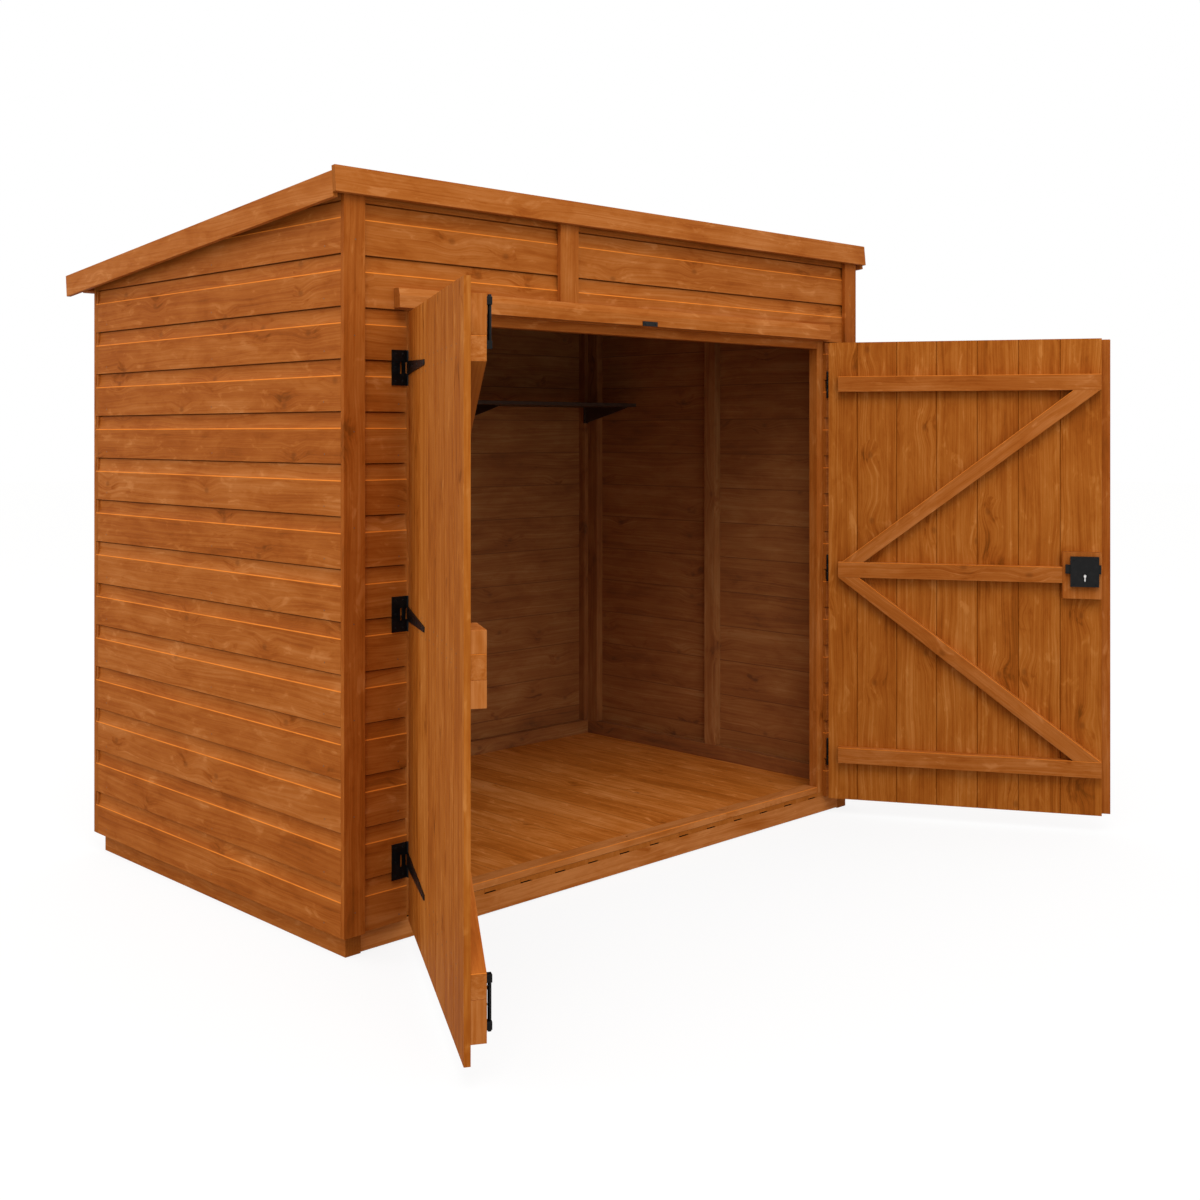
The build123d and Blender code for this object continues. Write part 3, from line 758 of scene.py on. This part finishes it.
class Carcase:
    """Walls, frame, floor, trims, roof and shelf."""

    WALLS: dict[str, tuple[Triple, float]] = {
        "left_cladding": (ALONG_Y, 11.0),
        "right_cladding": (ALONG_Y, 47.0),
        "back_cladding": (ALONG_X, 83.0),
        "front_left_cladding": (ALONG_X, 120.0),
        "front_right_cladding": (ALONG_X, 160.0),
        "header_cladding": (ALONG_X, 205.0),
    }
    TIMBERS: dict[str, tuple[Triple, Triple, float]] = {
        "side_wall_rails": (ALONG_Y, UPRIGHT, 0.00),
        "side_wall_studs": (UPRIGHT, ALONG_Y, 0.00),
        "back_wall_rails": (ALONG_X, UPRIGHT, 0.00),
        "back_wall_studs": (UPRIGHT, ALONG_X, 0.00),
        "front_posts": (UPRIGHT, ALONG_X, 0.02),
        "door_lintel": (ALONG_X, UPRIGHT, 0.00),
        "front_top_rail": (ALONG_X, UPRIGHT, 0.00),
        "roof_rails": (ALONG_X, UPRIGHT, 0.00),
        "floor_bearers": (ALONG_Y, UPRIGHT, 0.00),
        "corner_trims": (UPRIGHT, ALONG_X, -0.05),
        "header_cover_strip": (UPRIGHT, ALONG_X, 0.05),
        "drip_bar": (ALONG_X, UPRIGHT, 0.06),
        "front_fascia": (ALONG_X, UPRIGHT, 0.04),
        "barge_boards": (ALONG_Y, UPRIGHT, 0.02),
    }
    FIRST_SEED = 300.0
    SEED_STEP = 17.0
    FLOOR_START = -0.850

    def __init__(self, dresser: Dresser) -> None:
        """Keep what gives the finishes."""
        self.dresser = dresser

    def dress_walls(self) -> None:
        """Give every wall and frame timber its finish."""
        for node, (along, seed) in self.WALLS.items():
            self.dresser.timber(node, along, UPRIGHT, seed, 0.0, pitch=BOARD_COVER,
                                start=WALL_START, profile=Profile.SHIPLAP, lined=True)
        for number, (node, (along, across, tone)) in enumerate(self.TIMBERS.items()):
            seed = self.FIRST_SEED + self.SEED_STEP * number
            self.dresser.timber(node, along, across, seed, tone=tone, knots=0.80, lined=True)

    def dress_floor(self) -> None:
        """Give the joists, the threshold and the floor boards their finish."""
        # The joists' tops take painted shadow.
        self.dresser.timber("floor_joists", ALONG_X, UPRIGHT, 436.0, tone=0.17, knots=0.70,
                            covered=True)
        low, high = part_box("threshold_board")
        slant = Vector((0.0, -1.0, 1.0)).normalized()
        edge = (tuple(slant), slant.dot(Vector((0.0, low[1], high[2]))))
        # The threshold takes a painted shadow line at its lower edge and a painted highlight along
        # its upper front edge.
        self.dresser.timber("threshold_board", ALONG_X, ALONG_Y, 470.0, tone=0.20, knots=0.80,
                            seams=(low[2],), lit_edges=(edge,))
        self.dresser.timber("floor_boards", ALONG_Y, ALONG_X, 801.0, 0.0, pitch=BOARD_COVER,
                            start=self.FLOOR_START, profile=Profile.MATCHED, stain=PALE_FLOOR_STAIN,
                            tone=0.06, figure=1.05, joint=0.90, variety=0.28, bands=0.45)

    def dress_roof_and_shelf(self) -> None:
        """Give the roof boards, the felt and the shelf their finish."""
        self.dresser.timber("roof_deck", ALONG_Y, ALONG_X, 871.0, 0.0, pitch=BOARD_COVER,
                            start=0.0, profile=Profile.MATCHED)
        self.dresser.dress("roof_felt", MineralFelt(), 0.0)
        self.dresser.dress("shelf_board", BROWN_SHELF, 0.001)
        self.dresser.dress("shelf_brackets", DULL_BRACKETS, 0.0004)
        for node in ("head_plate", "upper_bolt_keep"):
            self.dresser.dress(node, BlackSteel(), 0.0004)

    def dress(self) -> None:
        """Dress all of it."""
        self.dress_walls()
        self.dress_floor()
        self.dress_roof_and_shelf()


@dataclass
class FixedNails:
    """Nails of the walls, trims and floor."""

    dresser: Dresser
    from_joint: float = 0.018
    error: float = 0.0022
    front_stud: float = 0.062
    middle_stud: float = 0.537
    back_stud: float = 0.050
    under_roof: float = 0.07
    back_stud_reach: float = 0.8865
    post_lines: tuple[float, float] = (-0.7695, 0.8155)
    back_studs: int = 4
    panel_top: float = 1.39
    edge_margin: float = 0.05
    trim_middle: float = 0.0275
    first_trim_nail: float = 0.10
    front_trim_nails: tuple[int, float] = (8, 0.205)
    back_trim_nails: tuple[int, float] = (7, 0.22)
    joist_lines: Triple = (-0.191, 0.191, 0.505)
    board_nails: tuple[float, float] = (0.022, 0.086)
    first_board: float = 0.0325
    floor_margin: float = 0.06
    chance: random.Random = field(default_factory=lambda: random.Random(5))

    def _near(self, place: float) -> float:
        """Give a place with the small error of a hammer and rule."""
        return place + self.chance.uniform(-self.error, self.error)

    def build_walls(self) -> None:
        """Nail each course of the walls to its studs and posts."""
        heads = nails("cladding_nails")
        (left_x, front_y, _), (_, back_y, top_front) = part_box("left_cladding")
        right_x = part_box("right_cladding")[1][0]
        _, back_face, back_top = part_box("back_cladding")[1]
        slope = (top_front - back_top) / (back_face - front_y)
        stud_lines = (front_y + self.front_stud, front_y + self.middle_stud,
                      back_y - self.back_stud)
        for course in range(int((top_front - WALL_START) / BOARD_COVER) + 1):
            height = WALL_START + course * BOARD_COVER + self.from_joint
            for line in stud_lines:
                if height > top_front - slope * (line - front_y) - self.under_roof:
                    continue
                heads.at(left_x, self._near(line), self._near(height), (-1, 0, 0))
                heads.at(right_x, self._near(line), self._near(height), (1, 0, 0))
            if height < back_top - self.edge_margin:
                for stud in range(self.back_studs):
                    x = self.back_stud_reach * (2 * stud / (self.back_studs - 1) - 1)
                    heads.at(self._near(x), back_face, self._near(height), (0, 1, 0))
            if height < self.panel_top:
                for x in self.post_lines:
                    heads.at(self._near(x), front_y, self._near(height), (0, -1, 0))
        heads.build(self.dresser, self.chance)

    def build_trims(self) -> None:
        """Nail the corner trims, front and back."""
        heads = nails("trim_nails")
        low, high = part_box("corner_trims")
        for x in (low[0] + self.trim_middle, high[0] - self.trim_middle):
            for (count, step), y, way in ((self.front_trim_nails, low[1], -1),
                                          (self.back_trim_nails, high[1], 1)):
                for number in range(count):
                    height = self.first_trim_nail + number * step
                    heads.at(self._near(x), y, height, (0, way, 0))
        heads.build(self.dresser, self.chance)

    def build_floor(self) -> None:
        """Nail the floor boards to the joists."""
        heads = nails("floor_nails")
        low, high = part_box("floor_boards")
        place = low[0] + self.first_board
        while place < high[0] - self.edge_margin:
            for line in self.joist_lines:
                for across in self.board_nails:
                    x = place + across
                    if low[0] + self.floor_margin < x < high[0] - self.floor_margin:
                        heads.at(self._near(x), self._near(line), high[2], UPRIGHT)
            place += BOARD_COVER
        heads.build(self.dresser, self.chance)

    def build(self) -> None:
        """Build all of them."""
        self.build_walls()
        self.build_trims()
        self.build_floor()


@dataclass
class RoofCover:
    """The upper sheet of felt, lapped over the lower one, and the clout nails."""

    dresser: Dresser
    pitch: float = math.radians(5.5)
    lap_rise: float = 0.0022
    sheet_width: float = 0.62
    columns: int = 24
    waver: float = 0.0015
    clout_spacing: float = 0.11
    clout_margin: float = 0.02
    front_margin: float = 0.025
    corner_margin: float = 0.03
    side_margin: float = 0.002
    chance: random.Random = field(default_factory=lambda: random.Random(9))

    @property
    def up(self) -> Vector:
        """Direction square to the roof."""
        return Vector((0, math.sin(self.pitch), math.cos(self.pitch)))

    def on_felt(self, x: float, y: float, rise: float) -> Vector:
        """Give a place on the felt, raised square to it."""
        low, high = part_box("roof_felt")
        return Vector((x, y, high[2] - math.tan(self.pitch) * (y - low[1]))) + self.up * rise

    def build_sheet(self) -> None:
        """Lay the upper sheet, with a slightly wavering lower edge."""
        low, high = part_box("roof_felt")
        lap = low[1] + self.sheet_width
        rows = ((low[1] + 0.003, 0.0002), (low[1] + 0.004, self.lap_rise), (lap, self.lap_rise),
                (lap + 0.0015, 0.0002))
        mesh, margin = bmesh.new(), self.side_margin
        grid: list[list[bmesh.types.BMVert]] = []
        for y, rise in rows:
            line = []
            for column in range(self.columns + 1):
                x = low[0] + margin + (high[0] - low[0] - 2 * margin) * column / self.columns
                wave = self.chance.uniform(-self.waver, self.waver) if y > lap - 0.001 else 0.0
                line.append(mesh.verts.new(self.on_felt(x, y + wave, rise)))
            grid.append(line)
        for near, far in zip(grid, grid[1:]):
            for column in range(self.columns):
                mesh.faces.new((near[column], near[column + 1], far[column + 1], far[column]))
        piece_from(mesh, "felt_upper_sheet", self.dresser.of(MineralFelt()), "shed")

    def build_clouts(self) -> None:
        """Nail the edges of both sheets."""
        low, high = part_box("roof_felt")
        lap = low[1] + self.sheet_width
        corner, margin = self.corner_margin, self.clout_margin
        clouts = Heads("felt_clouts", "shed", CLOUT, ZINC)
        count = int((high[0] - low[0]) / self.clout_spacing)
        for number in range(count + 1):
            x = low[0] + corner + (high[0] - low[0] - 2 * corner) * number / count
            for y, rise in ((low[1] + self.front_margin, self.lap_rise),
                            (lap - margin, self.lap_rise), (high[1] - margin, 0.0)):
                clouts.at(*self.on_felt(x, y, rise), self.up)
        count = int((high[1] - low[1]) / self.clout_spacing)
        for number in range(1, count):
            y = low[1] + (high[1] - low[1]) * number / count
            for x in (low[0] + margin, high[0] - margin):
                clouts.at(*self.on_felt(x, y, self.lap_rise if y < lap else 0.0), self.up)
        clouts.build(self.dresser, self.chance)

    def build(self) -> None:
        """Build the sheet and its nails."""
        self.build_sheet()
        self.build_clouts()


@dataclass
class Door:
    """One ledged and braced door with its straps, nails and fittings."""

    dresser: Dresser
    body: str
    run: Triple
    seed: float
    hinge_x: float
    hinge_y: float = -0.5785
    inside: float = 0.040
    half_ledge: float = 0.0225
    width: float = 0.761
    cover: float = 0.1134
    first_board: float = 0.083
    hinge_setback: float = 0.0043
    end_share: float = 0.75
    ledge_tone: float = 0.05
    strap_reach: float = 0.29
    wide_pair: float = 0.0185
    nail_pair: float = 0.012
    nail_error: float = 0.002
    nail_margins: tuple[float, float] = (0.035, 0.03)
    upper_brace: tuple[float, float] = (0.042, 0.0765)
    lower_brace: tuple[float, float] = (0.091, 0.0025)
    brace_rise: float = 0.497
    brace_reach: float = 0.655
    strap_thickness: float = 0.003
    strap_screws: tuple[tuple[float, float], ...] = ((0.018, 0.008), (0.018, -0.008),
                                                     (0.085, 0.0), (0.165, 0.0), (0.245, 0.0))

    @property
    def inward(self) -> Vector:
        """Direction from the outer face of the door to its inner face."""
        side = -1.0 if self.body == "right_door" else 1.0
        return Vector((-self.run[1] * side, self.run[0] * side, 0.0))

    def place(self, across: float, depth: float, height: float) -> Vector:
        """Give a place on the door.

        Args:
            across: Distance from the hinged edge.
            depth: Distance from the outer face, inwards.
            height: Height above the ground.

        Returns:
            The place in the shed's frame, with the door at rest.
        """
        hinge = Vector((self.hinge_x, self.hinge_y, height))
        along = Vector(self.run) * (across + self.hinge_setback)
        return hinge + along + self.inward * depth

    def _brace_run(self, rise: float) -> Triple:
        """Give the direction of a brace that rises or falls along the door."""
        return tuple((Vector(self.run) * self.brace_reach + Vector((0, 0, rise))).normalized())

    def _brace_edges(self) -> tuple[tuple[Triple, float], ...]:
        """Give the upper edge of each brace.

        Returns:
            For each the direction square to it and how far along that it lies.
        """
        bottom, middle, top = LEDGES
        half = self.half_ledge
        edges = []
        for (start, gap), foot_z, head_z in (
                (self.upper_brace, middle + half, top - half),
                (self.lower_brace, middle - half, bottom + half)):
            foot = self.place(start, self.inside, foot_z)
            head = self.place(self.width - gap, self.inside, head_z)
            square = self.inward.cross(head - foot).normalized()
            edges.append((tuple(square), square.dot(foot)))
        return tuple(edges)

    def dress(self) -> None:
        """Give the timbers and straps their finish."""
        name, timber = self.body, self.dresser.timber
        hinge = Vector((self.hinge_x, self.hinge_y, 0.0))
        first = Vector(self.run).dot(hinge) + self.hinge_setback + self.first_board
        timber(f"{name}_boards", UPRIGHT, self.run, self.seed, 0.0, pitch=self.cover,
               start=first - self.cover, profile=Profile.MATCHED, stain=SUNLIT, tone=0.015,
               knots=0.68, figure=1.05, streaks=0.62, bands=0.60)
        tops = tuple((UPRIGHT, height + self.half_ledge) for height in LEDGES)
        timber(f"{name}_ledges", self.run, UPRIGHT, self.seed + 40, pitch=0.3, start=0.05,
               tone=self.ledge_tone, knots=0.80, lit_edges=tops, end_share=self.end_share)
        lower = self._brace_run(-self.brace_rise)
        timber(f"{name}_braces", lower, tuple(self.inward.cross(Vector(lower))), self.seed + 60,
               pitch=0.6, start=0.1, tone=0.05, knots=0.80,
               turned=self._brace_run(self.brace_rise), lit_edges=self._brace_edges())
        self.dresser.dress(f"{name.split('_')[0]}_hinge_straps", BlackSteel(), 0.0004)

    def build_nails(self) -> None:
        """Nail each board to each ledge, from the outer face."""
        heads = nails(f"{self.body}_nails", self.body)
        chance = random.Random(int(self.seed))
        joint = self.first_board - self.cover
        hinged, free = self.nail_margins
        while joint < self.width:
            for across in (joint + 0.25 * self.cover, joint + 0.75 * self.cover):
                if not hinged < across < self.width - free:
                    continue
                rise = self.wide_pair if across < self.strap_reach else self.nail_pair
                for height in LEDGES:
                    for way in (-1, 1):
                        near = across + chance.uniform(-self.nail_error, self.nail_error)
                        heads.at(*self.place(near, 0.0, height + way * rise), -self.inward)
            joint += self.cover
        heads.build(self.dresser, chance)

    def _drive(self, name: str, spots: Sequence[Triple], way: float, seed: int) -> None:
        """Drive black screws into the door.

        Args:
            name: The piece's name.
            spots: Across, depth and height of each, as in place.
            way: -1 on the outer face, 1 on the inner one.
            seed: Seed of their small turns.
        """
        heads = screws(name, self.body)
        for spot in spots:
            heads.at(*self.place(*spot), self.inward * way)
        heads.build(self.dresser, random.Random(seed))

    def build_strap_screws(self) -> None:
        """Screw the straps to the boards."""
        spots = [(across, -self.strap_thickness, height + rise) for height in LEDGES
                 for across, rise in self.strap_screws]
        self._drive(f"{self.body}_strap_screws", spots, -1, 3)

    def build_fittings(self) -> None:
        """Build what only this door has."""

    def build(self) -> None:
        """Dress the door and build its small pieces."""
        self.dress()
        self.build_nails()
        self.build_strap_screws()
        self.build_fittings()


@dataclass
class LeftDoor(Door):
    """The left door with its two bolts and the blocks that carry them."""

    bolt_gap: float = 0.0305
    plate_thickness: float = 0.0025
    screw_margin: float = 0.006
    screw_offset: float = 0.0125
    bolt_plates: tuple[tuple[float, float], ...] = ((1.266, 1.356), (0.098, 0.193))

    def dress(self) -> None:
        """Give the door, its blocks and bolts their finish."""
        super().dress()
        self.dresser.timber("left_door_blocks", UPRIGHT, self.run, self.seed + 90, 0.0004,
                            pitch=0.4, start=0.1, tone=0.06, knots=0.86, end_share=0.0)
        for node in ("bolt_barrels", "upper_bolt_rod", "lower_bolt_rod"):
            self.dresser.dress(node, BlackSteel(), 0.0004)

    def build_fittings(self) -> None:
        """Screw the bolts' plates to their blocks."""
        line, margin = self.width - self.bolt_gap, self.screw_margin
        face = self.inside + self.plate_thickness
        spots = [(line + side, face, height) for low, high in self.bolt_plates
                 for height in (low + margin, (low + high) / 2, high - margin)
                 for side in (-self.screw_offset, self.screw_offset)]
        self._drive("bolt_screws", spots, 1, 4)


@dataclass
class RightDoor(Door):
    """The right door with its lock and meeting strip."""

    key_gap: float = 0.047
    lock_depth: float = 0.015
    screw_offset: float = 0.030
    screw_heights: tuple[float, float] = (0.702, 0.770)

    def dress(self) -> None:
        """Give the door, its lock and meeting strip their finish."""
        super().dress()
        for node, later, arris, tone, knots in (("lock_block", 90, 0.0012, 0.10, 0.86),
                                                ("meeting_strip", 130, 0.001, 0.05, 0.80)):
            self.dresser.timber(node, UPRIGHT, self.run, self.seed + later, arris, pitch=0.4,
                                start=0.1, tone=tone, knots=knots)
        self.dresser.dress("rim_lock", LOCK_CASE, 0.0025)

    def _slab(self, mesh: bmesh.types.BMesh, half: float, height: tuple[float, float],
              depth: tuple[float, float], round_by: float) -> None:
        """Add a slab with rounded corners on the keyhole's line.

        Args:
            mesh: The mesh that takes it.
            half: Half its width along the door.
            height: From and to upwards.
            depth: From and to inwards.
            round_by: Radius of its corners.
        """
        key = self.width - self.key_gap
        outline = []
        for side, level, begin in ((1, height[1] - round_by, 0), (-1, height[1] - round_by, 90),
                                   (-1, height[0] + round_by, 180),
                                   (1, height[0] + round_by, 270)):
            for step in range(5):
                angle = math.radians(begin + 90 * step / 4)
                outline.append((key + side * (half - round_by) + round_by * math.cos(angle),
                                level + round_by * math.sin(angle)))
        rows = [[mesh.verts.new(self.place(x, level, z)) for x, z in outline] for level in depth]
        count = len(outline)
        for side in range(count):
            after = (side + 1) % count
            mesh.faces.new((rows[0][side], rows[0][after], rows[1][after], rows[1][side]))
        mesh.faces.new(rows[1])

    def build_fittings(self) -> None:
        """Build the keyhole plate, a white keyhole shape on it as a painted highlight, and the
        lock's screws.
        """
        face = self.inside + self.lock_depth
        mesh = bmesh.new()
        self._slab(mesh, 0.006, (0.708, 0.734), (face - 0.0002, face + 0.0012), 0.005)
        piece_from(mesh, "keyhole_plate", self.dresser.of(BlackSteel("black_plate")), self.body)
        # White keyhole shape: a painted highlight.
        mesh = bmesh.new()
        self._slab(mesh, 0.0017, (0.7095, 0.7255), (face + 0.0012, face + 0.0018), 0.0016)
        self._slab(mesh, 0.0033, (0.7205, 0.7285), (face + 0.0012, face + 0.0019), 0.0032)
        piece_from(mesh, "keyhole_highlight", self.dresser.of(KEYHOLE_HIGHLIGHT), self.body)
        line = self.width - self.key_gap
        spots = [(line + side, face, height) for side in (-self.screw_offset, self.screw_offset)
                 for height in self.screw_heights]
        self._drive("lock_screws", spots, 1, 6)


@dataclass
class FixedIronmongery:
    """Hinge plates, head plate and shelf brackets, with their screws."""

    dresser: Dresser
    plate_face: float = -0.5765
    plate_screws: tuple[tuple[float, float], ...] = ((0.0095, -0.030), (0.0095, 0.0),
                                                     (0.0095, 0.030), (0.0290, -0.030),
                                                     (0.0290, 0.030))
    head_plate_margin: float = 0.008
    brackets: int = 4
    first_bracket: float = -0.856
    bracket_step: float = 0.575
    bracket_screws: tuple[float, float] = (0.022, 0.010)
    bracket_offset: float = 0.007
    bracket_thickness: float = 0.003

    def build(self) -> None:
        """Dress the plates and screw them on."""
        self.dresser.dress("hinge_plates", BlackSteel(), 0.0004)
        heads = screws("hinge_plate_screws")
        low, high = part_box("hinge_plates")
        for outer, way in ((low[0], 1), (high[0], -1)):
            for height in LEDGES:
                for across, level in self.plate_screws:
                    heads.at(outer + way * across, self.plate_face, height + level, (0, -1, 0))
        low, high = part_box("head_plate")
        for x in (low[0] + self.head_plate_margin, high[0] - self.head_plate_margin):
            heads.at(x, low[1], (low[2] + high[2]) / 2, (0, -1, 0))
        low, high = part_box("shelf_brackets")
        from_top, from_foot = self.bracket_screws
        for number in range(self.brackets):
            x = self.first_bracket + self.bracket_step * number
            for height in (high[2] - from_top, low[2] + from_foot):
                for side in (-self.bracket_offset, self.bracket_offset):
                    heads.at(x + side, high[1] - self.bracket_thickness, height, (0, -1, 0))
        heads.build(self.dresser, random.Random(8))


@dataclass
class Lamp:
    """One large soft lamp."""

    name: str
    place: Triple
    aim: Triple
    watts: float
    size: float = 3.5

    def build(self) -> None:
        """Hang it and turn it to its aim."""
        data = bpy.data.lights.new(self.name, "AREA")
        data.shape = "SQUARE"
        data.size = self.size
        data.energy = self.watts
        lamp = placed(self.name, data)
        lamp.location = self.place
        way = Vector(self.aim) - Vector(self.place)
        lamp.rotation_euler = way.to_track_quat("-Z", "Y").to_euler()


@dataclass
class Studio:
    """Floor, light and camera."""

    camera_place: Triple = (-2.6732, -3.1378, 1.1197)
    heading: float = 44.55
    lens: float = 43.22
    shift_up: float = -0.1382
    sky: float = 1.0
    sky_colour: Triple = (1.0, 0.985, 0.97)
    whiteness: float = 0.85
    lit_floor: Triple = (0.42, 0.42, 0.42)
    seen_floor: Triple = (0.98, 0.98, 0.98)
    lamps: tuple[Lamp, ...] = (Lamp("key", (-2.8, -3.8, 6.0), (0.0, -0.4, 0.8), 170.0),
                               Lamp("fill", (-5.0, 3.0, 4.0), (-0.6, -0.4, 0.8), 60.0))

    def build_floor(self) -> None:
        """Lay a plain white floor that keeps the shadow."""
        mesh = bmesh.new()
        bmesh.ops.create_grid(mesh, x_segments=2, y_segments=2, size=30.0)
        data = bpy.data.meshes.new("studio_floor")
        mesh.to_mesh(data)
        mesh.free()
        floor = placed("studio_floor", data)
        graph = Graph("studio_white")
        path = graph.node("ShaderNodeLightPath", {}, {}, "Is Camera Ray")
        ground = graph.blend(path, self.lit_floor, self.seen_floor)
        diffuse = graph.node("ShaderNodeBsdfDiffuse", {}, {"Color": ground})
        glow = graph.node("ShaderNodeEmission", {}, {"Color": (1.0, 1.0, 1.0)})
        mixed = graph.node("ShaderNodeMixShader", {}, {0: path * self.whiteness, 1: diffuse,
                                                       2: glow})
        data.materials.append(graph.close(mixed))

    def build_world(self) -> None:
        """Light from all round, with a white background for the camera."""
        world = bpy.data.worlds.new("studio")
        bpy.context.scene.world = world
        graph = Graph("studio", world)
        path = graph.node("ShaderNodeLightPath", {}, {}, "Is Camera Ray")
        soft = graph.node("ShaderNodeBackground", {}, {"Color": self.sky_colour,
                                                       "Strength": self.sky})
        white = graph.node("ShaderNodeBackground", {}, {"Color": (1.0, 1.0, 1.0),
                                                        "Strength": 1.0})
        graph.close(graph.node("ShaderNodeMixShader", {}, {0: path, 1: soft, 2: white}),
                    "World")

    def build_camera(self) -> None:
        """Stand the camera where the photograph was taken from."""
        data = bpy.data.cameras.new("camera")
        data.lens = self.lens
        data.sensor_width = 36.0
        data.shift_y = self.shift_up
        data.clip_end = 100.0
        camera = placed("camera", data)
        camera.location = self.camera_place
        camera.rotation_euler = (math.radians(90), 0.0, -math.radians(self.heading))
        bpy.context.scene.camera = camera

    def build(self) -> None:
        """Set up all of it."""
        bpy.context.scene.view_settings.view_transform = "Standard"
        self.build_floor()
        self.build_world()
        for lamp in self.lamps:
            lamp.build()
        self.build_camera()
        log.info("studio set")


def main() -> None:
    """Dress the shed, build its small pieces and set up the studio."""
    logging.basicConfig(level=logging.INFO, format="%(message)s")
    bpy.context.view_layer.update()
    dresser = Dresser()
    Carcase(dresser).dress()
    FixedNails(dresser).build()
    RoofCover(dresser).build()
    FixedIronmongery(dresser).build()
    LeftDoor(dresser, "left_door", LEFT_DOOR_RUN, 511.0, -0.7468, end_share=0.0,
             ledge_tone=0.12).build()
    RightDoor(dresser, "right_door", RIGHT_DOOR_RUN, 631.0, 0.7888).build()
    Studio().build()


if __name__ == "__main__":
    main()
